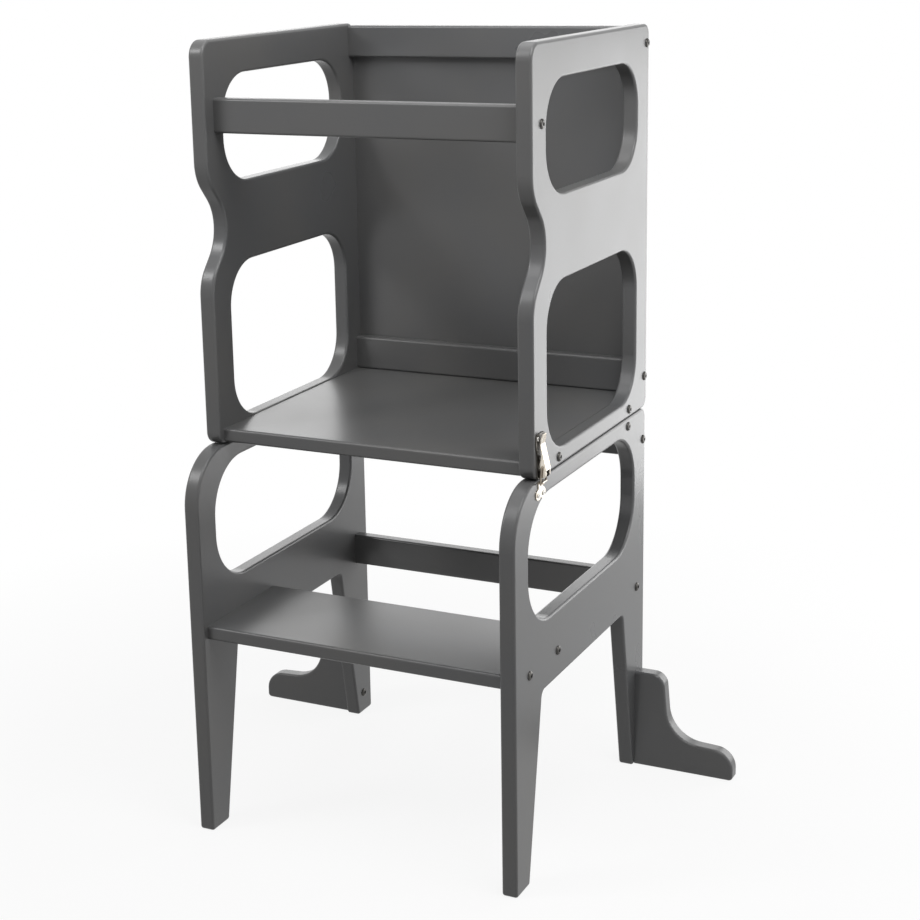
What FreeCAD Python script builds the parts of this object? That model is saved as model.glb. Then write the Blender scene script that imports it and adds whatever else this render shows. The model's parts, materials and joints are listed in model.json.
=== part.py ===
"""Toddler kitchen helper stool that unfolds into a small desk.

A lower frame on four legs carries a tower that turns on two butt hinges at the rear edge of the
seam between them.  A draw latch on the +X side holds the tower down.  Millimetres, +Y from the open
front to the rear, +Z up.  The origin is on the floor, in the middle of the whole stool's footprint.
"""
import FreeCAD
import Part
import math
import os
from collections import namedtuple

V = FreeCAD.Vector

# ---------------------------------------------------------------- driving dimensions, overall
total_height = 900.0
outer_width = 400.0          # across the outer faces of the side panels
lower_depth = 398.0
upper_depth = 348.0
rear_overhang = 3.0          # the tower stands this far behind the lower frame
seam_gap = 0.6               # between the tower's side panels and the lower frame's
side_thickness = 18.0
board_thickness = 16.0
edge_radius = 3.0            # rounding along the edges of all boards and panels

# tower side panels
upper_front_top_radius = 18.0
upper_corner_radius = 12.0
upper_front_foot_radius = 14.0
window_side_margin = 38.5    # wood left in front of and behind a window of the tower
window_radius = 50.0
low_window_sill = 19.0
low_window_height = 181.0
high_window_height = 119.0
high_window_lintel = 39.7
waist_height = 243.5         # middle of the drawn-in waist, above the panel's foot
waist_depth = 34.0
waist_slope = 41.0           # degrees off the upright
waist_radius = 47.0

# tower boards
platform_lift = 1.7          # underside of the platform, above the side panels' foot
platform_setback = 10.0
bottom_rail_height = 41.0
top_rail_height = 38.0
top_rail_drop = 2.5
bar_height = 38.0
bar_drop = 62.8
bar_setback = 18.0
back_panel_thickness = 5.0
rebate_width = 8.0           # how far the back panel laps onto what holds it
panel_play = 0.2

# lower side panels
lower_front_top_radius = 62.0
lower_corner_radius = 12.0
lower_window_margin = 38.0
lower_window_lintel = 20.0
lower_window_height = 141.0
lower_window_radius = 60.0
leg_foot_width = 36.0
leg_top_width = 74.0
arch_height = 210.0
arch_radius = 8.0
foot_radius = 4.0

# lower boards
step_top = 249.5
step_depth = 150.0
step_setback = 9.0
mid_rail_height = 39.0
mid_rail_lift = 1.0          # underside of the mid rail, above the arch
mid_rail_inset = 18.0
top_board_depth = 90.0
lower_top_rail_height = 41.5

# stabilisers
stabiliser_thickness = 18.0
stabiliser_inset = 13.0      # ahead of the rear edge of the leg
stabiliser_reach = 125.0
stabiliser_height = 122.0
stabiliser_shoulder = 37.0
stabiliser_shoulder_radius = 16.0
stabiliser_neck = 44.0
stabiliser_neck_height = 40.0
stabiliser_hollow_radius = 43.0
stabiliser_nose_height = 35.5
stabiliser_nose_radius = 24.0
stabiliser_toe_radius = 5.0
stabiliser_bolt_heights = (27.0, 90.0)
stabiliser_nut_reach = 22.0

# furniture bolts, barrel nuts and dowels
bolt_radius = 3.0
bolt_head_radius = 5.3
bolt_head_height = 2.2       # of the low domed head, off the wood's face
bolt_head_rim = 0.5          # height of the head's upright edge
bolt_head_flat_radius = 2.8  # of the flat round the socket
bolt_socket_flats = 4.0
bolt_socket_depth = 1.8
bolt_dome_bulge = 0.3        # share of the dome's half chord
bolt_end = 2.0               # of thread beyond the nut
nut_radius = 5.0
nut_length = 12.0
nut_reach = 32.0             # from the board's end to the barrel nut
dowel_radius = 3.0
dowel_in_side = 11.5
dowel_in_board = 18.5
dowel_spread = 12.0          # from the middle of a rail to its dowel
hole_play = 0.05
hole_end_play = 0.5
flat_bolt_inset = 60.0       # of the platform and the top board
step_bolt_front = 30.0
step_bolt_rear = 41.0

# butt hinges between the platform and the top board
hinge_spacing = 220.0
leaf_length = 60.0
leaf_thickness = 1.5
leaf_reach = 28.0            # from the hinge axis to the leaf's front edge
leaf_corner_radius = 3.0
knuckle_count = 5
knuckle_radius = 3.0
knuckle_play = 0.3
hinge_pin_radius = 1.5
hinge_pin_play = 0.05
hinge_pin_head_radius = 2.4
hinge_pin_head_height = 1.0
leaf_screw_reach = 18.0      # from the hinge axis to the screws
leaf_screw_spread = 20.0

# screws
screw_radius = 1.6
screw_head_radius = 3.2
screw_length = 13.0
screw_slot_width = 0.7
screw_slot_depth = 0.5
screw_slot_share = 0.6       # of the head's radius
panel_screw_length = 12.0
panel_screw_shares = (0.2, 0.5, 0.8)     # of the back panel's height
pan_head_height = 1.1
pan_head_radius = 2.6
latch_screw_length = 12.0

# draw latch
latch_setback = 16.0         # middle of the latch, behind the tower's front edge
latch_sheet = 1.2
latch_play = 0.3
corner_spare = 0.1           # less than a full round, so that two arcs don't meet
base_width = 24.0
base_foot = 1.6              # above the tower's side panel's foot
base_height = 48.0
base_corner_radius = 4.0
base_neck_width = 17.0
base_neck_height = 24.0
base_shoulder_height = 34.0
base_screw_spread = 8.0
base_screw_drop = 4.5
base_low_screw = 21.0        # above the base's foot
ear_gap = 6.6                # between the two ears
ear_radius = 2.6
pivot_out = 6.5              # lever pivot, off the panel's face
pivot_up = 5.7               # lever pivot, above the side panel's foot
pivot_radius = 1.2
lever_width = 12.0
lever_low_out = 9.4          # middle of the lever's strip at its low end
lever_low_up = 11.0
lever_kink_out = 3.0
lever_kink_up = 38.5
lever_tip_out = 5.4
lever_tip_up = 49.5
lever_tip_narrowing = 2.5
lever_flange_up = 30.0
lever_eye_radius = 2.8
lever_waist_radius = 2.0
lever_edge_radius = 0.2
lever_tip_radius = 0.5
lever_bend_radius = 1.2      # inside the bend of the finger tip
bail_pivot_out = 5.2
bail_pivot_up = 14.7
bail_wire_radius = 1.1
bail_bar_out = 3.5
bail_bar_drop = 3.95         # of the bail's cross bar below the lower panel's top
bail_eye_bend = 1.5
bail_corner_radius = 2.4
bail_hole_play = 0.05
strike_width = 25.0
strike_neck_width = 11.4
strike_height = 20.0
strike_tab_drop = 1.1        # top of the tab below the lower panel's top
strike_tab_reach = 6.0
strike_screw_spread = 6.5
strike_screw_up = 5.0        # above the strike's foot
strike_lobe_radius = 5.5

# ---------------------------------------------------------------- places worked out from them
outer_x = outer_width / 2
inner_x = outer_x - side_thickness
overall_depth = lower_depth + rear_overhang + knuckle_play + 2 * knuckle_radius
lower_front = -overall_depth / 2
lower_rear = lower_front + lower_depth
upper_rear = lower_rear + rear_overhang
upper_front = upper_rear - upper_depth
hinge_y = upper_rear + knuckle_play + knuckle_radius
hinge_z = total_height / 2
lower_top = hinge_z - seam_gap / 2
upper_foot = hinge_z + seam_gap / 2
platform_under = upper_foot + platform_lift
platform_top = platform_under + board_thickness
top_board_top = 2 * hinge_z - platform_under
top_board_under = top_board_top - board_thickness
leaf_gap = 2 * (platform_under - leaf_thickness - hinge_z)
latch_y = upper_front + latch_setback
pivot_x = outer_x + pivot_out
pivot_z = upper_foot + pivot_up
bail_pivot_x = outer_x + bail_pivot_out
bail_pivot_z = upper_foot + bail_pivot_up
bail_bar_x = outer_x + bail_bar_out
bail_bar_z = lower_top - bail_bar_drop
stabiliser_rear = lower_rear - stabiliser_inset
stabiliser_front = stabiliser_rear - stabiliser_thickness
panel_low = platform_top + bottom_rail_height - rebate_width
panel_high = total_height - top_rail_drop - top_rail_height + rebate_width
panel_front = upper_rear - back_panel_thickness


# ---------------------------------------------------------------- outlines and solids
def rounded_edges(points, place, closed=True):
    """Straight runs joined by tangent arcs; points are (a, b, radius), place(a, b) is in space."""
    count = len(points)
    entries, exits, middles = [], [], []
    for i, (a, b, radius) in enumerate(points):
        corner = V(a, b, 0)
        if not radius or (not closed and i in (0, count - 1)):
            entries.append(corner)
            exits.append(corner)
            middles.append(None)
            continue
        before = points[i - 1]
        after = points[(i + 1) % count]
        back = (V(before[0], before[1], 0) - corner).normalize()
        ahead = (V(after[0], after[1], 0) - corner).normalize()
        half_angle = back.getAngle(ahead) / 2
        reach = radius / math.tan(half_angle)
        centre = corner + (back + ahead).normalize() * (radius / math.sin(half_angle))
        entries.append(corner + back * reach)
        exits.append(corner + ahead * reach)
        middles.append(centre + (corner - centre).normalize() * radius)
    edges = []
    for i in range(count):
        if middles[i] is not None:
            arc = [place(p.x, p.y) for p in (entries[i], middles[i], exits[i])]
            edges.append(Part.Arc(*arc).toShape())
        if i == count - 1 and not closed:
            break
        start, end = exits[i], entries[(i + 1) % count]
        if (end - start).Length > 1e-6:
            edges.append(Part.makeLine(place(start.x, start.y), place(end.x, end.y)))
    return edges


def plate(points, place, thickness):
    """A flat plate: a rounded outline, pushed along the thickness vector."""
    return Part.Face(Part.Wire(rounded_edges(points, place))).extrude(thickness)


def side_plate(points, x, thickness):
    return plate(points, lambda y, z: V(x, y, z), V(thickness, 0, 0))


def front_plate(points, y, thickness):
    return plate(points, lambda x, z: V(x, y, z), V(0, thickness, 0))


def flat_plate(points, z, thickness):
    return plate(points, lambda x, y: V(x, y, z), V(0, 0, thickness))


def box(x0, x1, y0, y1, z0, z1):
    return Part.makeBox(x1 - x0, y1 - y0, z1 - z0, V(x0, y0, z0))


def rod(radius, start, end):
    return Part.makeCylinder(radius, (end - start).Length, start, end - start)


def rounded_rectangle(a0, a1, b0, b1, radius):
    return [(a0, b0, radius), (a1, b0, radius), (a1, b1, radius), (a0, b1, radius)]


def mirrored(shape):
    return shape.mirror(V(0, 0, 0), V(1, 0, 0))


def both_sides(shapes):
    return shapes + [mirrored(shape) for shape in shapes]


def soften(solid, edges):
    return solid.makeFillet(edge_radius, edges)


def edges_in_plane(solid, axis, places):
    """Edges whose ends all lie at one of the given places along an axis ("x", "y" or "z")."""
    found = []
    for edge in solid.Edges:
        ends = [getattr(vertex.Point, axis) for vertex in edge.Vertexes]
        if any(all(abs(end - place) < 1e-6 for end in ends) for place in places):
            found.append(edge)
    return found


# ---------------------------------------------------------------- boards between the side panels
# bolts and dowels are (y, z) places on both side panels; nuts go in from "below" or "behind"
Board = namedtuple("Board", "y0 y1 z0 z1 bolts dowels nuts_from")


def flat_board(y0, y1, z0, bolt_places, dowel_places):
    middle = z0 + board_thickness / 2
    bolts = [(y, middle) for y in bolt_places]
    dowels = [(y, middle) for y in dowel_places]
    return Board(y0, y1, z0, z0 + board_thickness, bolts, dowels, "below")


def upright_rail(y0, z0, height, dowel_shifts):
    middle_y = y0 + board_thickness / 2
    middle_z = z0 + height / 2
    dowels = [(middle_y, middle_z + shift) for shift in dowel_shifts]
    return Board(y0, y0 + board_thickness, z0, z0 + height, [(middle_y, middle_z)], dowels, "behind")


platform_front = upper_front + platform_setback
platform = flat_board(
    platform_front, upper_rear, platform_under,
    (platform_front + flat_bolt_inset, upper_rear - flat_bolt_inset),
    ((platform_front + upper_rear) / 2,))
bottom_rail = upright_rail(upper_rear - board_thickness, platform_top, bottom_rail_height,
                           (-dowel_spread,))
top_rail = upright_rail(upper_rear - board_thickness,
                        total_height - top_rail_drop - top_rail_height, top_rail_height,
                        (dowel_spread,))
safety_bar = upright_rail(upper_front + bar_setback, total_height - bar_drop - bar_height,
                          bar_height, (-dowel_spread, dowel_spread))
step_front = lower_front + step_setback
step_rear = step_front + step_depth
step = flat_board(step_front, step_rear, step_top - board_thickness,
                  (step_front + step_bolt_front, step_rear - step_bolt_rear),
                  ((step_front + step_rear) / 2,))
mid_rail = upright_rail(lower_rear - mid_rail_inset - board_thickness,
                        arch_height + mid_rail_lift, mid_rail_height, (-dowel_spread, dowel_spread))
lower_top_rail = upright_rail(lower_rear - board_thickness,
                              top_board_under - lower_top_rail_height, lower_top_rail_height,
                              (-dowel_spread, dowel_spread))
top_board_front = lower_rear - top_board_depth
top_board = flat_board(top_board_front, lower_rear, top_board_under,
                       (lower_rear - flat_bolt_inset,), (lower_rear - flat_bolt_inset / 2,))

upper_boards = (platform, bottom_rail, top_rail, safety_bar)
lower_boards = (step, mid_rail, lower_top_rail, top_board)


def board_end_holes(board):
    """What the bolts, barrel nuts and dowels take out of the board's +X end."""
    tools = []
    for y, z in board.bolts:
        deep = inner_x - nut_reach - nut_radius - bolt_end - hole_end_play
        tools.append(rod(bolt_radius + hole_play, V(deep, y, z), V(inner_x, y, z)))
        tools.append(barrel_space(board, y, z, inner_x - nut_reach))
    for y, z in board.dowels:
        deep = inner_x - dowel_in_board - hole_end_play
        tools.append(rod(dowel_radius + hole_play, V(deep, y, z), V(inner_x, y, z)))
    return tools


def barrel_space(board, y, z, x):
    """The blind hole that a barrel nut sits in, open on the board's hidden face."""
    radius = nut_radius + hole_play
    if board.nuts_from == "below":
        return rod(radius, V(x, y, board.z0), V(x, y, z + nut_length / 2 + hole_play))
    return rod(radius, V(x, board.y1, z), V(x, y - nut_length / 2 - hole_play, z))


def make_board(board):
    solid = box(-inner_x, inner_x, board.y0, board.y1, board.z0, board.z1)
    lengthwise = [edge for edge in solid.Edges if edge.Length > 2 * inner_x - 1e-6]
    solid = soften(solid, lengthwise)
    return solid.cut(both_sides(board_end_holes(board)))


def barrel_nut(along, y, z, x):
    half = along * (nut_length / 2)
    middle = V(x, y, z)
    nut = rod(nut_radius, middle - half, middle + half)
    thread = rod(bolt_radius + hole_play, V(x - nut_radius, y, z), V(x + nut_radius, y, z))
    return nut.cut(thread)


def board_nuts(board):
    along = V(0, 0, 1) if board.nuts_from == "below" else V(0, 1, 0)
    return [barrel_nut(along, y, z, inner_x - nut_reach) for y, z in board.bolts]


def furniture_bolt(seat, y, z, outward, length):
    """A bolt along X with a low domed socket head standing on the wood's face at seat."""
    axis = V(seat, y, z)
    away = V(outward, 0, 0)
    half_chord = (bolt_head_radius - bolt_head_flat_radius) / 2
    rise = (bolt_head_height - bolt_head_rim) / 2
    bulge = math.hypot(half_chord, rise) * bolt_dome_bulge

    def place(radius, height):
        return axis + away * height + V(0, 0, radius)

    rim = place(bolt_head_radius, bolt_head_rim)
    crown = place(bolt_head_flat_radius, bolt_head_height)
    out = V(rise, half_chord, 0).normalize() * bulge
    middle = place(bolt_head_flat_radius + half_chord + out.x, bolt_head_rim + rise + out.y)
    edges = [
        Part.makeLine(place(0, 0), place(bolt_head_radius, 0)),
        Part.makeLine(place(bolt_head_radius, 0), rim),
        Part.Arc(rim, middle, crown).toShape(),
        Part.makeLine(crown, place(0, bolt_head_height)),
        Part.makeLine(place(0, bolt_head_height), place(0, 0)),
    ]
    head = Part.Face(Part.Wire(edges)).revolve(axis, V(1, 0, 0), 360)
    shank = rod(bolt_radius, axis, axis - away * length)
    corner = bolt_socket_flats / 2 / math.cos(math.pi / 6)
    ring = [axis + away * bolt_head_height
            + V(0, math.cos(i * math.pi / 3), math.sin(i * math.pi / 3)) * corner for i in range(6)]
    socket = Part.Face(Part.makePolygon(ring + ring[:1])).extrude(-away * bolt_socket_depth)
    return head.fuse(shank).removeSplitter().cut(socket)


def side_bolt(y, z):
    """The bolt through the +X side panel into a board's end."""
    length = side_thickness + nut_reach + nut_radius + bolt_end
    return furniture_bolt(outer_x, y, z, 1, length)


def side_bolt_hole(y, z):
    return rod(bolt_radius + hole_play, V(inner_x, y, z), V(outer_x, y, z))


def dowel(y, z):
    return rod(dowel_radius, V(inner_x - dowel_in_board, y, z), V(inner_x + dowel_in_side, y, z))


def side_dowel_hole(y, z):
    deep = inner_x + dowel_in_side + hole_end_play
    return rod(dowel_radius + hole_play, V(inner_x, y, z), V(deep, y, z))


def side_holes(boards):
    tools = []
    for board in boards:
        tools += [side_bolt_hole(y, z) for y, z in board.bolts]
        tools += [side_dowel_hole(y, z) for y, z in board.dowels]
    return tools


def group(solids):
    return Part.makeCompound(solids)


# ---------------------------------------------------------------- side panels, the +X one
def soft_side_panel(outline, openings):
    solid = side_plate(outline, inner_x, side_thickness)
    for opening in openings:
        solid = solid.cut(side_plate(opening, inner_x, side_thickness))
    return soften(solid, edges_in_plane(solid, "x", (inner_x, outer_x)))


def upper_outline():
    straight = waist_depth / math.tan(math.radians(waist_slope))
    bend = waist_radius * math.tan(math.radians(waist_slope) / 2)
    middle = upper_foot + waist_height
    waist = upper_front + waist_depth
    return [
        (upper_rear, upper_foot, upper_corner_radius),
        (upper_rear, total_height, upper_corner_radius),
        (upper_front, total_height, upper_front_top_radius),
        (upper_front, middle + bend + straight, waist_radius),
        (waist, middle + bend, waist_radius),
        (waist, middle - bend, waist_radius),
        (upper_front, middle - bend - straight, waist_radius),
        (upper_front, upper_foot, upper_front_foot_radius),
    ]


def upper_windows():
    front = upper_front + window_side_margin
    rear = upper_rear - window_side_margin
    low = upper_foot + low_window_sill
    high = total_height - high_window_lintel
    return [
        rounded_rectangle(front, rear, low, low + low_window_height, window_radius),
        rounded_rectangle(front, rear, high - high_window_height, high, window_radius),
    ]


def upper_side():
    solid = soft_side_panel(upper_outline(), upper_windows())
    rebate = box(inner_x, inner_x + rebate_width, panel_front, upper_rear,
                 panel_low - panel_play, panel_high + panel_play)
    return solid.cut(side_holes(upper_boards) + [rebate] + side_panel_screw_holes())


def lower_outline():
    foot_front = lower_front + leg_foot_width
    foot_rear = lower_rear - leg_foot_width
    arch_front = lower_front + leg_top_width
    arch_rear = lower_rear - leg_top_width
    return [
        (lower_rear, 0, foot_radius),
        (lower_rear, lower_top, lower_corner_radius),
        (lower_front, lower_top, lower_front_top_radius),
        (lower_front, 0, foot_radius),
        (foot_front, 0, foot_radius),
        (arch_front, arch_height, arch_radius),
        (arch_rear, arch_height, arch_radius),
        (foot_rear, 0, foot_radius),
    ]


def lower_window():
    high = lower_top - lower_window_lintel
    return rounded_rectangle(lower_front + lower_window_margin, lower_rear - lower_window_margin,
                             high - lower_window_height, high, lower_window_radius)


def lower_side():
    solid = soft_side_panel(lower_outline(), [lower_window()])
    return solid.cut(side_holes(lower_boards) + stabiliser_leg_holes())


# ---------------------------------------------------------------- stabilisers, the +X one
def stabiliser():
    outline = [
        (outer_x, 0, 0),
        (outer_x, stabiliser_height, 0),
        (outer_x + stabiliser_shoulder, stabiliser_height, stabiliser_shoulder_radius),
        (outer_x + stabiliser_neck, stabiliser_neck_height, stabiliser_hollow_radius),
        (outer_x + stabiliser_reach, stabiliser_nose_height, stabiliser_nose_radius),
        (outer_x + stabiliser_reach, 0, stabiliser_toe_radius),
    ]
    solid = front_plate(outline, stabiliser_front, stabiliser_thickness)
    faces = edges_in_plane(solid, "y", (stabiliser_front, stabiliser_rear))
    at_leg = edges_in_plane(solid, "x", (outer_x,))
    rounded = [edge for edge in faces if not any(edge.isSame(other) for other in at_leg)]
    return soften(solid, rounded).cut(stabiliser_end_holes())


def stabiliser_middle():
    return (stabiliser_front + stabiliser_rear) / 2


def stabiliser_end_holes():
    y = stabiliser_middle()
    x = outer_x + stabiliser_nut_reach
    end = x + nut_radius + bolt_end + hole_end_play
    tools = []
    for z in stabiliser_bolt_heights:
        tools.append(rod(bolt_radius + hole_play, V(outer_x, y, z), V(end, y, z)))
        front = y - nut_length / 2 - hole_play
        tools.append(rod(nut_radius + hole_play, V(x, stabiliser_rear, z), V(x, front, z)))
    return tools


def stabiliser_nuts():
    x = outer_x + stabiliser_nut_reach
    return [barrel_nut(V(0, 1, 0), stabiliser_middle(), z, x) for z in stabiliser_bolt_heights]


def stabiliser_bolts():
    length = side_thickness + stabiliser_nut_reach + nut_radius + bolt_end
    return [furniture_bolt(inner_x, stabiliser_middle(), z, -1, length)
            for z in stabiliser_bolt_heights]


def stabiliser_leg_holes():
    return [side_bolt_hole(stabiliser_middle(), z) for z in stabiliser_bolt_heights]


# ---------------------------------------------------------------- back panel
def back_panel_body(play):
    """The back panel's space; play is added all round but not behind."""
    half = inner_x + rebate_width - panel_play + play
    low = panel_low + panel_play - play
    high = panel_high - panel_play + play
    return box(-half, half, panel_front, upper_rear, low, high)


def back_panel_screw_places():
    lap = rebate_width / 2
    side_x = inner_x + lap
    heights = [panel_low + (panel_high - panel_low) * share for share in panel_screw_shares]
    places = [(side_x, z) for z in heights]
    places += [(-side_x, z) for z in heights]
    for x in (-side_x * 2 / 3, 0, side_x * 2 / 3):
        places += [(x, panel_low + lap), (x, panel_high - lap)]
    return places


def panel_screw_space(x, z, play):
    """A countersunk screw from behind: its head is flush with the back panel."""
    return countersunk(V(x, upper_rear, z), V(0, -1, 0), panel_screw_length, play)


def side_panel_screw_holes():
    return [panel_screw_space(x, z, hole_play) for x, z in back_panel_screw_places() if x > inner_x]


def back_panel():
    tools = [panel_screw_space(x, z, hole_play) for x, z in back_panel_screw_places()]
    return back_panel_body(0).cut(tools)


def back_rail(board):
    tools = [panel_screw_space(x, z, hole_play) for x, z in back_panel_screw_places()]
    return make_board(board).cut([back_panel_body(panel_play)] + tools)


# ---------------------------------------------------------------- screws
def countersunk(top, along, length, play):
    """A countersunk head flush at top and its shank; with play it is the hole for one."""
    head_depth = screw_head_radius - screw_radius
    cone = Part.makeCone(screw_head_radius + play, screw_radius + play, head_depth, top, along)
    shank = rod(screw_radius + play, top, top + along * (length + play))
    return cone.fuse(shank)


def countersunk_screw(top, along, length):
    screw = countersunk(top, along, length, 0)
    return screw.cut(driver_slots(top, along, screw_head_radius))


def pan_head_screw(seat, along, length):
    """A low round head standing on seat, and its shank."""
    top = seat - along * pan_head_height
    head = rod(pan_head_radius, top, seat)
    rim = [edge for edge in head.Edges
           if all((vertex.Point - top).Length < pan_head_radius + 1e-6 for vertex in edge.Vertexes)]
    head = head.makeFillet(pan_head_height / 2, rim)
    shank = rod(screw_radius, seat, seat + along * length)
    return head.fuse(shank).cut(driver_slots(top, along, pan_head_radius))


def driver_slots(top, along, head_radius):
    """The cross recess in a screw's head."""
    across = V(1, 0, 0) if along.x == 0 else V(0, 0, 1)
    slots = []
    for direction in (across, along.cross(across)):
        side = along.cross(direction) * (screw_slot_width / 2)
        reach = direction * (head_radius * screw_slot_share)
        corners = [top - reach - side, top + reach - side, top + reach + side, top - reach + side]
        face = Part.Face(Part.makePolygon(corners + corners[:1]))
        slots.append(face.extrude(along * screw_slot_depth))
    return slots


# ---------------------------------------------------------------- butt hinges, about (x, hinge_y, hinge_z)
def hinge_middles():
    return (-hinge_spacing / 2, hinge_spacing / 2)


def leaf_screw_tops(middle, side):
    """Heads of one leaf's screws; side is +1 for the tower's leaf and -1 for the lower one."""
    z = hinge_z + side * leaf_gap / 2
    y = hinge_y - leaf_screw_reach
    return [V(middle + shift * leaf_screw_spread, y, z) for shift in (-1, 0, 1)]


def hinge_leaf(middle, side):
    """One leaf with its own knuckles; the lower leaf has the odd ones, the tower's the even."""
    low = hinge_z + leaf_gap / 2 if side > 0 else hinge_z - leaf_gap / 2 - leaf_thickness
    left = middle - leaf_length / 2
    outline = rounded_rectangle(left, left + leaf_length, hinge_y - leaf_reach, hinge_y, 0)
    for corner in (0, 1):
        outline[corner] = outline[corner][:2] + (leaf_corner_radius,)
    leaf = flat_plate(outline, low, leaf_thickness)
    pitch = leaf_length / knuckle_count
    swing = knuckle_radius + knuckle_play
    for i in range(knuckle_count):
        x0, x1 = left + i * pitch, left + (i + 1) * pitch
        if (i % 2 == 1) == (side > 0):
            x0 += knuckle_play / 2 if i else 0
            x1 -= knuckle_play / 2 if i < knuckle_count - 1 else 0
            leaf = leaf.fuse(rod(knuckle_radius, V(x0, hinge_y, hinge_z), V(x1, hinge_y, hinge_z)))
        else:
            x0 -= knuckle_play / 2 if i else 1
            x1 += knuckle_play / 2 if i < knuckle_count - 1 else 1
            leaf = leaf.cut(box(x0, x1, hinge_y - swing, hinge_y + swing, hinge_z - swing, hinge_z + swing))
    bore = rod(hinge_pin_radius + hinge_pin_play, V(left - 1, hinge_y, hinge_z),
               V(left + leaf_length + 1, hinge_y, hinge_z))
    screws = [countersunk(top, V(0, 0, side), screw_length, hole_play)
              for top in leaf_screw_tops(middle, side)]
    return leaf.cut([bore] + screws).removeSplitter()


def hinge_pin(middle):
    left = V(middle - leaf_length / 2 - knuckle_play, hinge_y, hinge_z)
    right = V(middle + leaf_length / 2 + knuckle_play, hinge_y, hinge_z)
    head = V(hinge_pin_head_height, 0, 0)
    pin = rod(hinge_pin_radius, left, right)
    return pin.fuse([rod(hinge_pin_head_radius, left - head, left),
                     rod(hinge_pin_head_radius, right, right + head)])


def leaf_screws(side):
    return [countersunk_screw(top, V(0, 0, side), screw_length)
            for middle in hinge_middles() for top in leaf_screw_tops(middle, side)]


def leaf_screw_holes(side):
    return [countersunk(top, V(0, 0, side), screw_length, hole_play)
            for middle in hinge_middles() for top in leaf_screw_tops(middle, side)]


# ---------------------------------------------------------------- draw latch, on the +X side
def latch_sheet_across(outline, offset):
    """A sheet of the latch that stands across Y, at an offset from the latch's middle."""
    return front_plate(outline, latch_y + offset, latch_sheet)


def base_screw_seats():
    foot = upper_foot + base_foot
    seat_x = outer_x + latch_sheet
    high = foot + base_height - base_screw_drop
    return [V(seat_x, latch_y - base_screw_spread, high), V(seat_x, latch_y + base_screw_spread, high),
            V(seat_x, latch_y, foot + base_low_screw)]


def base_screw_holes():
    return [rod(screw_radius + hole_play, seat, seat - V(latch_sheet + latch_screw_length, 0, 0))
            for seat in base_screw_seats()]


def latch_base():
    foot = upper_foot + base_foot
    top = foot + base_height
    wide, narrow = base_width / 2, base_neck_width / 2
    outline = [
        (latch_y - narrow, foot, base_corner_radius / 2),
        (latch_y + narrow, foot, base_corner_radius / 2),
        (latch_y + narrow, foot + base_neck_height, base_corner_radius),
        (latch_y + wide, foot + base_shoulder_height, base_corner_radius),
        (latch_y + wide, top, base_corner_radius),
        (latch_y - wide, top, base_corner_radius),
        (latch_y - wide, foot + base_shoulder_height, base_corner_radius),
        (latch_y - narrow, foot + base_neck_height, base_corner_radius),
    ]
    base = side_plate(outline, outer_x, latch_sheet)
    ear = [
        (outer_x, foot, 0),
        (pivot_x + ear_radius, pivot_z - ear_radius, ear_radius - corner_spare),
        (pivot_x + ear_radius, pivot_z + ear_radius, ear_radius - corner_spare),
        (outer_x, pivot_z + 2 * ear_radius, 0),
    ]
    for offset in (-ear_gap / 2 - latch_sheet, ear_gap / 2):
        base = base.fuse(latch_sheet_across(ear, offset))
    pivot = rod(pivot_radius, V(pivot_x, latch_y - base_width, pivot_z),
                V(pivot_x, latch_y + base_width, pivot_z))
    return base.cut([pivot] + base_screw_holes())


def lever_strip():
    """The lever's strip, seen from the side: straight, with its finger tip bent outwards."""
    low = V(outer_x + lever_low_out, 0, upper_foot + lever_low_up)
    kink = V(outer_x + lever_kink_out, 0, upper_foot + lever_kink_up)
    tip = V(outer_x + lever_tip_out, 0, upper_foot + lever_tip_up)
    half = latch_sheet / 2
    shaft = (kink - low).normalize()
    finger = (tip - kink).normalize()
    turn = shaft.getAngle(finger)
    out = V(shaft.z, 0, -shaft.x)
    finger_out = V(finger.z, 0, -finger.x)
    bisector = (out + finger_out).normalize() * (half / math.cos(turn / 2))
    corners = [low + out * half, kink + bisector, tip + finger_out * half,
               tip - finger_out * half, kink - bisector, low - out * half]
    radii = [lever_edge_radius, lever_bend_radius + latch_sheet, lever_tip_radius,
             lever_tip_radius, lever_bend_radius, lever_edge_radius]
    return [(corner.x, corner.z, radius) for corner, radius in zip(corners, radii)]


def lever_flange():
    """One of the lever's two cheeks, which hold both pivots."""
    low = (outer_x + lever_low_out, upper_foot + lever_low_up)
    share = (lever_flange_up - lever_low_up) / (lever_kink_up - lever_low_up)
    high_x = outer_x + lever_low_out + (lever_kink_out - lever_low_out) * share
    eye = lever_eye_radius
    return [
        (low[0], low[1], 0),
        (high_x, upper_foot + lever_flange_up, 0),
        (bail_pivot_x - eye, bail_pivot_z + lever_waist_radius, lever_waist_radius),
        (pivot_x - eye, pivot_z - eye, eye - corner_spare),
        (pivot_x + eye, pivot_z - eye, eye - corner_spare),
    ]


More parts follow.
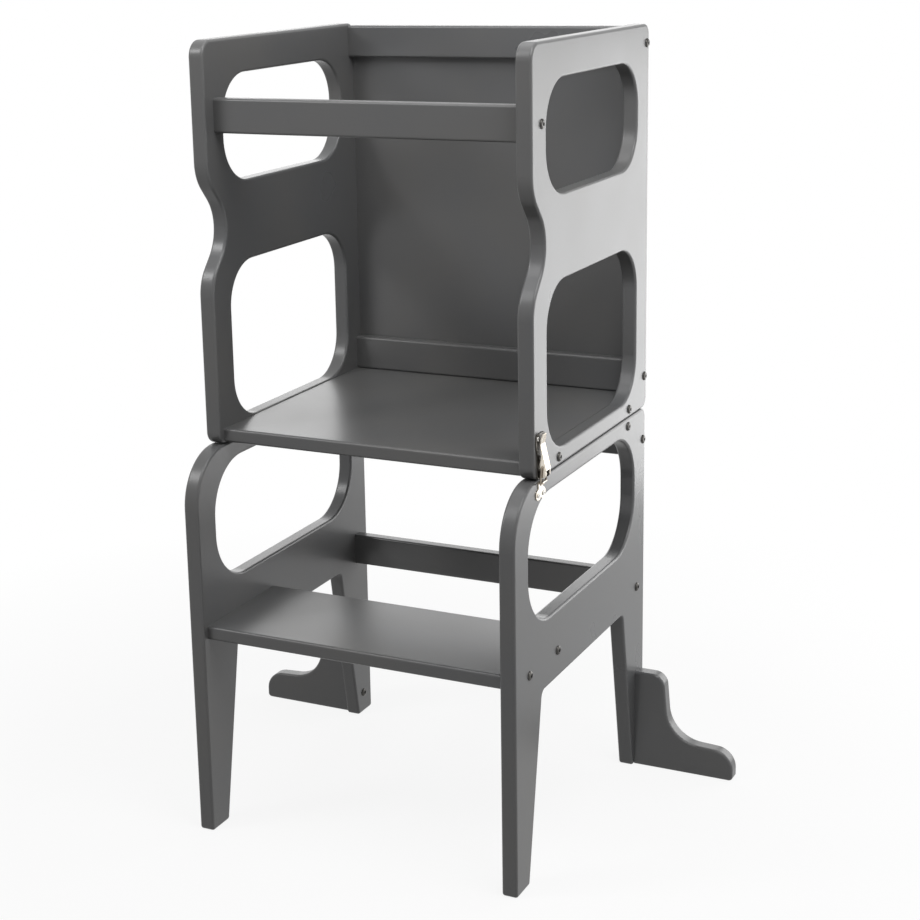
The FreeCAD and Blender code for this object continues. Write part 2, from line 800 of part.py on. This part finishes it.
def latch_lever():
    half = lever_width / 2
    lever = front_plate(lever_strip(), latch_y - half, lever_width)
    for offset in (-half, half - latch_sheet):
        lever = lever.fuse(latch_sheet_across(lever_flange(), offset))
    tip_z = upper_foot + lever_tip_up
    trim_low = tip_z - 2 * lever_tip_narrowing
    for sign in (-1, 1):
        edge = latch_y + sign * half
        trim = [(edge, trim_low, 0), (edge + sign, trim_low, 0), (edge + sign, tip_z + 1, 0),
                (edge - sign * lever_tip_narrowing, tip_z + 1, 0)]
        lever = lever.cut(side_plate(trim, outer_x, base_height))
    pivot = rod(pivot_radius + hole_play, V(pivot_x, latch_y - lever_width, pivot_z),
                V(pivot_x, latch_y + lever_width, pivot_z))
    eyes = rod(bail_wire_radius + bail_hole_play, V(bail_pivot_x, latch_y - lever_width, bail_pivot_z),
               V(bail_pivot_x, latch_y + lever_width, bail_pivot_z))
    return lever.cut([pivot, eyes]).removeSplitter()


def latch_pivot_pin():
    reach = lever_width / 2 + latch_play / 2
    return rod(pivot_radius, V(pivot_x, latch_y - reach, pivot_z), V(pivot_x, latch_y + reach, pivot_z))


def latch_bail():
    """A wire loop: its ends turn in through the lever's eyes, its bar hooks under the strike's tab."""
    top = V(bail_pivot_x, latch_y, bail_pivot_z)
    down = V(bail_bar_x, latch_y, bail_bar_z) - top
    length = down.Length
    down.normalize()
    leg = lever_width / 2 + bail_eye_bend + bail_hole_play
    end = lever_width / 2 - latch_sheet - latch_play
    path = [(end, 0, 0), (leg, 0, bail_eye_bend), (leg, length, bail_corner_radius),
            (-leg, length, bail_corner_radius), (-leg, 0, bail_eye_bend), (-end, 0, 0)]
    spine = Part.Wire(rounded_edges(path, lambda a, b: top + V(0, a, 0) + down * b, closed=False))
    start = top + V(0, end, 0)
    circle = Part.Wire(Part.makeCircle(bail_wire_radius, start, V(0, 1, 0)))
    return spine.makePipeShell([circle], True, False)


def strike_foot():
    return lower_top - strike_tab_drop - strike_height


def strike_screw_seats():
    return [V(outer_x + latch_sheet, latch_y + shift, strike_foot() + strike_screw_up)
            for shift in (-strike_screw_spread, strike_screw_spread)]


def strike_screw_holes():
    return [rod(screw_radius + hole_play, seat, seat - V(latch_sheet + latch_screw_length, 0, 0))
            for seat in strike_screw_seats()]


def latch_strike():
    """A fish-tail plate with a tab at its top that the bail's bar pulls against."""
    foot, top = strike_foot(), lower_top - strike_tab_drop
    wide, narrow = strike_width / 2, strike_neck_width / 2
    lobe = strike_lobe_radius
    shoulder = foot + 2 * lobe
    outline = [
        (latch_y - wide, foot, lobe - corner_spare),
        (latch_y - lobe / 2, foot, lobe / 3),
        (latch_y, foot + lobe / 2, lobe / 3),
        (latch_y + lobe / 2, foot, lobe / 3),
        (latch_y + wide, foot, lobe - corner_spare),
        (latch_y + wide, shoulder, lobe - corner_spare),
        (latch_y + narrow, shoulder, lobe / 3),
        (latch_y + narrow, top, 0),
        (latch_y - narrow, top, 0),
        (latch_y - narrow, shoulder, lobe / 3),
        (latch_y - wide, shoulder, lobe - corner_spare),
    ]
    strike = side_plate(outline, outer_x, latch_sheet)
    tab = box(outer_x, outer_x + strike_tab_reach, latch_y - narrow, latch_y + narrow,
              top - latch_sheet, top)
    strike = strike.fuse(tab).removeSplitter()
    bend = [edge for edge in strike.Edges
            if edge.Length > strike_neck_width - 1e-6
            and all(abs(vertex.Point.x - outer_x) < 1e-6 and abs(vertex.Point.z - top) < 1e-6
                    for vertex in edge.Vertexes)]
    return strike.makeFillet(latch_sheet, bend).cut(strike_screw_holes())


# ---------------------------------------------------------------- all pieces
def platform_board():
    return make_board(platform).cut(leaf_screw_holes(1))


def lower_top_board():
    return make_board(top_board).cut(leaf_screw_holes(-1))


def bolts_of(boards):
    return both_sides([side_bolt(y, z) for board in boards for y, z in board.bolts])


def nuts_of(boards):
    return both_sides([nut for board in boards for nut in board_nuts(board)])


def dowels_of(boards):
    return both_sides([dowel(y, z) for board in boards for y, z in board.dowels])


def latch_screws(seats):
    return group([pan_head_screw(seat, V(-1, 0, 0), latch_screw_length) for seat in seats])


def all_parts():
    upper, lower, right_stabiliser = upper_side(), lower_side(), stabiliser()
    return {
        "lower_right_side": lower.cut(strike_screw_holes()),
        "lower_left_side": mirrored(lower),
        "step_board": make_board(step),
        "lower_mid_rail": make_board(mid_rail),
        "lower_top_rail": make_board(lower_top_rail),
        "lower_top_board": lower_top_board(),
        "lower_frame_bolts": group(bolts_of(lower_boards)),
        "lower_frame_barrel_nuts": group(nuts_of(lower_boards)),
        "lower_frame_dowels": group(dowels_of(lower_boards)),
        "right_stabiliser": right_stabiliser,
        "left_stabiliser": mirrored(right_stabiliser),
        "stabiliser_bolts": group(both_sides(stabiliser_bolts())),
        "stabiliser_barrel_nuts": group(both_sides(stabiliser_nuts())),
        "upper_right_side": upper.cut(base_screw_holes()),
        "upper_left_side": mirrored(upper),
        "platform_board": platform_board(),
        "back_bottom_rail": back_rail(bottom_rail),
        "back_top_rail": back_rail(top_rail),
        "back_panel": back_panel(),
        "back_panel_screws": group([
            countersunk_screw(V(x, upper_rear, z), V(0, -1, 0), panel_screw_length)
            for x, z in back_panel_screw_places()]),
        "safety_bar": make_board(safety_bar),
        "tower_bolts": group(bolts_of(upper_boards)),
        "tower_barrel_nuts": group(nuts_of(upper_boards)),
        "tower_dowels": group(dowels_of(upper_boards)),
        "hinge_lower_leaves": group([hinge_leaf(middle, -1) for middle in hinge_middles()]),
        "hinge_upper_leaves": group([hinge_leaf(middle, 1) for middle in hinge_middles()]),
        "hinge_pins": group([hinge_pin(middle) for middle in hinge_middles()]),
        "hinge_lower_screws": group(leaf_screws(-1)),
        "hinge_upper_screws": group(leaf_screws(1)),
        "latch_base": latch_base(),
        "latch_base_screws": latch_screws(base_screw_seats()),
        "latch_pivot_pin": latch_pivot_pin(),
        "latch_strike": latch_strike(),
        "latch_strike_screws": latch_screws(strike_screw_seats()),
        "latch_lever": latch_lever(),
        "latch_bail": latch_bail(),
    }


os.makedirs("parts", exist_ok=True)
for name, shape in all_parts().items():
    shape.exportStep(os.path.join("parts", name + ".step"))
    print(name, len(shape.Solids), "solids", round(shape.Volume), "mm3", shape.isValid())
print("lever pivot", pivot_x, latch_y, pivot_z)
print("bail pivot", bail_pivot_x, latch_y, bail_pivot_z)
print("hinge axis", hinge_y, hinge_z)
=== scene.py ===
"""Looks of the toddler kitchen helper stool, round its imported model.  Metres, +Z up, -Y the front."""
import bpy
import json
import math
from mathutils import Matrix, Vector

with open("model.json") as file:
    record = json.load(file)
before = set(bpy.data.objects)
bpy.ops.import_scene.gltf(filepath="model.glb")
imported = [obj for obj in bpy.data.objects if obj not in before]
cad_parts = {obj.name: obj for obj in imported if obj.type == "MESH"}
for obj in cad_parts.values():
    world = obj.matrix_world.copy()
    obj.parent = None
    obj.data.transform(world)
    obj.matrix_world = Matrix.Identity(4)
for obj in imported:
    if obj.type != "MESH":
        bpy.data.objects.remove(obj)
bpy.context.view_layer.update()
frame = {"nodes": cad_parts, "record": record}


def shade(red, green, blue):
    return (red, green, blue, 1.0)


# ---------------------------------------------------------------- camera, as it stood for the photograph
PHOTO_SIZE = 920                        # pixels, both ways
FOCAL_LENGTH = 1878.6                   # pixels
PRINCIPAL_POINT = (399.5, 389.8)        # pixels from the left and from the top
SENSOR_WIDTH = 36.0                     # millimetres
CAMERA_REACH = 50                       # furthest thing that it sees
CAMERA_PLACE = Vector((0.9242, -1.8775, 1.0133))
CAMERA_HEADING = math.radians(26.95)    # from +Y towards -X
CAMERA_TILT = math.radians(-13.844)
CAMERA_ROLL = math.radians(-1.348)


def make_camera():
    data = bpy.data.cameras.new("camera")
    data.sensor_width = SENSOR_WIDTH
    data.lens = SENSOR_WIDTH * FOCAL_LENGTH / PHOTO_SIZE
    data.shift_x = 0.5 - PRINCIPAL_POINT[0] / PHOTO_SIZE
    data.shift_y = PRINCIPAL_POINT[1] / PHOTO_SIZE - 0.5
    data.clip_end = CAMERA_REACH
    camera = bpy.data.objects.new("camera", data)
    bpy.context.scene.collection.objects.link(camera)
    heading = Matrix.Rotation(CAMERA_HEADING, 4, "Z")
    tilt = Matrix.Rotation(math.pi / 2 + CAMERA_TILT, 4, "X")
    roll = Matrix.Rotation(CAMERA_ROLL, 4, "Z")
    camera.matrix_world = Matrix.Translation(CAMERA_PLACE) @ heading @ tilt @ roll
    bpy.context.scene.camera = camera


# ---------------------------------------------------------------- node helpers
class Nodes:
    """A thin wrapper that adds nodes to a tree and links them by socket name."""

    def __init__(self, tree):
        self.tree = tree
        tree.nodes.clear()

    def add(self, kind, settings=None, **inputs):
        node = self.tree.nodes.new(kind)
        for name, value in (settings or {}).items():
            setattr(node, name, value)
        for name, value in inputs.items():
            self.feed(node.inputs[name.replace("_", " ")], value)
        return node

    def feed(self, socket, value):
        """Links the socket to another one, or sets it to a plain value."""
        if isinstance(value, bpy.types.NodeSocket):
            self.tree.links.new(value, socket)
        else:
            socket.default_value = value

    def noise(self, place, scale, detail=3.0, roughness=0.5):
        node = self.add("ShaderNodeTexNoise", Vector=place, Scale=scale, Detail=detail,
                        Roughness=roughness)
        return node.outputs["Fac"]

    def remap(self, value, low, high, start=0.0, end=1.0):
        """The value's stretch from start to end, brought to low..high."""
        node = self.add("ShaderNodeMapRange", Value=value)
        for index, number in zip((1, 2, 3, 4), (start, end, low, high)):
            node.inputs[index].default_value = number
        return node.outputs["Result"]

    def mix(self, share, first, second):
        """A colour: the first at share 0, the second at share 1."""
        node = self.add("ShaderNodeMix", {"data_type": "RGBA"})
        for index, value in zip((0, 6, 7), (share, first, second)):
            self.feed(node.inputs[index], value)
        return node.outputs[2]

    def combine(self, operation, first, second):
        node = self.add("ShaderNodeMath", {"operation": operation})
        self.feed(node.inputs[0], first)
        self.feed(node.inputs[1], second)
        return node.outputs[0]

    def stretched(self, place, scale):
        return self.add("ShaderNodeMapping", Vector=place, Scale=scale).outputs["Vector"]

    def bump(self, height, distance, strength=1.0):
        node = self.add("ShaderNodeBump", Height=height, Distance=distance, Strength=strength)
        return node.outputs["Normal"]


def new_material(name):
    material = bpy.data.materials.new(name)
    material.use_nodes = True
    nodes = Nodes(material.node_tree)
    place = nodes.add("ShaderNodeTexCoord").outputs["Object"]
    return material, nodes, place


def finish_material(nodes, shader):
    output = nodes.add("ShaderNodeOutputMaterial")
    nodes.tree.links.new(shader.outputs[0], output.inputs["Surface"])


# ---------------------------------------------------------------- paint
PAINT = shade(0.122, 0.124, 0.127)
PAINT_THIN = shade(0.134, 0.133, 0.131)     # where less of it was sprayed
THIN_SHARE = (0.35, 0.65)                   # least and most of the thin colour in the mix
PAINT_ROUGHNESS = (0.27, 0.34)
ROUGHNESS_SPREAD = (0.3, 0.7)               # stretch of the cloud noise that the roughness follows
PAINT_BUMP = 0.00006
PAINT_BUMP_STRENGTH = 0.6
GRAIN_STRETCH = {"X": (3.0, 60.0, 60.0), "Z": (60.0, 60.0, 3.0)}    # by the axis that the grain follows
GRAIN_SCALE = 6.0
GRAIN_HEIGHT = 0.12                         # share of the bump
MIST_SCALE = 900.0
MIST_HEIGHT = 0.6                           # share of the bump
CLOUD_SCALE = 7.0


def grey_paint(grain_axis):
    """Satin sprayed paint: a fine mist texture over wood grain that just telegraphs through."""
    material, nodes, place = new_material("grey_paint_" + grain_axis)
    grain = nodes.noise(nodes.stretched(place, GRAIN_STRETCH[grain_axis]), GRAIN_SCALE, 2.0)
    cloud = nodes.noise(place, CLOUD_SCALE)
    mist = nodes.noise(place, MIST_SCALE, 2.0, 0.6)
    colour = nodes.mix(nodes.remap(cloud, 0.0, 1.0, *THIN_SHARE), PAINT, PAINT_THIN)
    roughness = nodes.remap(cloud, *PAINT_ROUGHNESS, *ROUGHNESS_SPREAD)
    height = nodes.combine("ADD", nodes.remap(grain, 0.0, GRAIN_HEIGHT), nodes.remap(mist, 0.0, MIST_HEIGHT))
    shader = nodes.add("ShaderNodeBsdfPrincipled", Base_Color=colour, Roughness=roughness,
                       Normal=nodes.bump(height, PAINT_BUMP, PAINT_BUMP_STRENGTH))
    finish_material(nodes, shader)
    return material


# ---------------------------------------------------------------- metals and bare wood
METALS = {      # by slot: colour, worn colour, least and most roughness
    "black_steel": (shade(0.055, 0.053, 0.050), shade(0.10, 0.096, 0.090), (0.22, 0.34)),
    # Both dull_steel colours, on the latch's base plate, are darkened with painted shade of the lever's
    # shadow and of its dark reflection in the plate.
    "dull_steel": (shade(0.10, 0.092, 0.082), shade(0.06, 0.054, 0.047), (0.30, 0.45)),
    "zinc": (shade(0.56, 0.55, 0.53), shade(0.42, 0.41, 0.39), (0.28, 0.42)),
    "nickel": (shade(0.72, 0.67, 0.59), shade(0.54, 0.48, 0.40), (0.16, 0.30)),
    "steel_wire": (shade(0.30, 0.26, 0.21), shade(0.20, 0.17, 0.14), (0.26, 0.40)),
}
DRAWN_STRETCH = (400.0, 400.0, 40.0)
DRAWN_SCALE = 3.0
PATCH_SCALE = 120.0
WORN_SHARE = (0.4, 0.7)                     # least and most of the worn colour in the mix
GLOSS_SPREAD = (0.7, 1.3)                   # stretch of both noises' sum that the roughness follows
METAL_BUMP = 0.00002
METAL_BUMP_STRENGTH = 0.5
BEECH_DARK = shade(0.50, 0.33, 0.19)
BEECH_LIGHT = shade(0.66, 0.48, 0.31)
BEECH_ROUGHNESS = 0.6
BEECH_BUMP = 0.0001
FIBRE_STRETCH = (8.0, 300.0, 300.0)
FIBRE_SCALE = 4.0


def metal(name, colour, worn, roughness):
    """Plated steel with a faint drawn grain and duller patches."""
    material, nodes, place = new_material(name)
    drawn = nodes.noise(nodes.stretched(place, DRAWN_STRETCH), DRAWN_SCALE, roughness=0.6)
    patches = nodes.noise(place, PATCH_SCALE)
    tint = nodes.mix(nodes.remap(patches, 0.0, 1.0, *WORN_SHARE), colour, worn)
    gloss = nodes.remap(nodes.combine("ADD", drawn, patches), *roughness, *GLOSS_SPREAD)
    shader = nodes.add("ShaderNodeBsdfPrincipled", Base_Color=tint, Roughness=gloss, Metallic=1.0,
                       Normal=nodes.bump(drawn, METAL_BUMP, METAL_BUMP_STRENGTH))
    finish_material(nodes, shader)
    return material


def beech():
    material, nodes, place = new_material("beech")
    fibre = nodes.noise(nodes.stretched(place, FIBRE_STRETCH), FIBRE_SCALE, 4.0, 0.6)
    colour = nodes.mix(fibre, BEECH_DARK, BEECH_LIGHT)
    shader = nodes.add("ShaderNodeBsdfPrincipled", Base_Color=colour, Roughness=BEECH_ROUGHNESS,
                       Normal=nodes.bump(fibre, BEECH_BUMP))
    finish_material(nodes, shader)
    return material


def dress_nodes():
    """Each node gets the material of its slot; the grain stands upright in the upright boards."""
    paints = {axis: grey_paint(axis) for axis in GRAIN_STRETCH}
    unpainted = {slot: metal(slot, *look) for slot, look in METALS.items()}
    unpainted["beech"] = beech()
    slots = {part["node"]: part["material_slot"] for part in frame["record"]["subparts"]}
    for name, node in frame["nodes"].items():
        slot = slots[name]
        if slot == "grey_paint":
            upright = name.endswith("_side") or name == "back_panel"
            material = paints["Z" if upright else "X"]
        else:
            material = unpainted[slot]
        for place in node.material_slots:
            place.material = material


# ---------------------------------------------------------------- floor and world
BACKGROUND = shade(1.0, 1.0, 1.0)
AMBIENT_LOW = shade(0.10, 0.10, 0.10)
AMBIENT_HIGH = shade(0.12, 0.12, 0.122)
AMBIENT_TURN = (-0.6, 1.0)              # heights of a unit direction where it is low and high
FLOOR_SIZE = 24.0
FLOOR_COLOUR = shade(0.28, 0.275, 0.265)    # in the light that it throws back
FLOOR_GLOW = (0.88, 1.0)                # share of plain white seen on the floor, near and far
FLOOR_GLOW_REACH = (0.5, 1.1)           # distance from the stool's middle, near and far


def seen_share(nodes):
    """1 for a ray from the camera, off a mirror or through glass, 0 for one that gathers light."""
    path = nodes.add("ShaderNodeLightPath").outputs
    share = nodes.combine("MAXIMUM", path["Is Camera Ray"], path["Is Transmission Ray"])
    return nodes.combine("MAXIMUM", share, path["Is Glossy Ray"])


def make_world():
    """White for the camera and in mirrored rays, but little light of its own."""
    world = bpy.data.worlds.new("studio")
    world.use_nodes = True
    nodes = Nodes(world.node_tree)
    direction = nodes.add("ShaderNodeTexCoord").outputs["Generated"]
    height = nodes.add("ShaderNodeSeparateXYZ", Vector=direction).outputs["Z"]
    ambient = nodes.mix(nodes.remap(height, 0.0, 1.0, *AMBIENT_TURN), AMBIENT_LOW, AMBIENT_HIGH)
    colour = nodes.mix(seen_share(nodes), ambient, BACKGROUND)
    light = nodes.add("ShaderNodeBackground", Color=colour, Strength=1.0)
    output = nodes.add("ShaderNodeOutputWorld")
    world.node_tree.links.new(light.outputs[0], output.inputs["Surface"])
    bpy.context.scene.world = world


def make_floor():
    """A pale floor that fades into the white background and keeps a faint shadow near the stool."""
    half = FLOOR_SIZE / 2
    mesh = bpy.data.meshes.new("floor")
    corners = [(-half, -half, 0), (half, -half, 0), (half, half, 0), (-half, half, 0)]
    mesh.from_pydata(corners, [], [(0, 1, 2, 3)])
    floor = bpy.data.objects.new("floor", mesh)
    bpy.context.scene.collection.objects.link(floor)
    material, nodes, place = new_material("floor")
    seen = seen_share(nodes)
    away = nodes.add("ShaderNodeVectorMath", {"operation": "LENGTH"})
    nodes.feed(away.inputs[0], place)
    white = nodes.remap(away.outputs["Value"], *FLOOR_GLOW, *FLOOR_GLOW_REACH)
    matt = nodes.add("ShaderNodeBsdfDiffuse", Color=nodes.mix(seen, FLOOR_COLOUR, BACKGROUND))
    glow = nodes.add("ShaderNodeEmission", Color=BACKGROUND, Strength=1.0)
    both = nodes.add("ShaderNodeMixShader")
    share = nodes.combine("MULTIPLY", seen, white)
    for socket, value in zip(both.inputs, (share, matt.outputs[0], glow.outputs[0])):
        nodes.feed(socket, value)
    finish_material(nodes, both)
    mesh.materials.append(material)


# ---------------------------------------------------------------- lamps
LAMPS = (       # name, place, aim, width, height, brightness in units of plain white
    ("side_box", (0.75, 1.0, 0.45), (0.2, 0.05, 0.45), 0.9, 0.8, 2.7),
    ("right_box", (1.8, 0.3, 0.9), (0.0, 0.0, 0.5), 1.2, 1.4, 1.4),
    ("left_box", (-1.3, -1.2, 1.8), (0.0, 0.0, 0.6), 0.5, 0.5, 11.7),
    ("high_right_box", (0.7, -0.4, 1.6), (0.0, 0.0, 0.6), 0.7, 0.7, 4.8),
    ("near_box", (-0.3, -0.7, 1.5), (0.0, 0.0, 0.75), 0.6, 0.5, 2.7),
    ("top_box", (0.0, 0.01, 1.6), (0.0, 0.0, 0.5), 0.8, 0.8, 1.2),
    ("rear_box", (-0.9, 1.9, 0.8), (0.0, 0.0, 0.3), 2.0, 1.0, 1.4),
)


def softbox(name, place, aim, width, height, brightness):
    """A rectangular lamp that the camera doesn't see."""
    data = bpy.data.lights.new(name, "AREA")
    data.shape = "RECTANGLE"
    data.size = width
    data.size_y = height
    data.energy = brightness * math.pi * width * height
    lamp = bpy.data.objects.new(name, data)
    bpy.context.scene.collection.objects.link(lamp)
    facing = (Vector(aim) - Vector(place)).to_track_quat("-Z", "Y").to_matrix().to_4x4()
    lamp.matrix_world = Matrix.Translation(place) @ facing
    lamp.visible_camera = False


make_camera()
make_world()
make_floor()
for lamp in LAMPS:
    softbox(*lamp)
dress_nodes()
bpy.context.scene.view_settings.view_transform = "Standard"
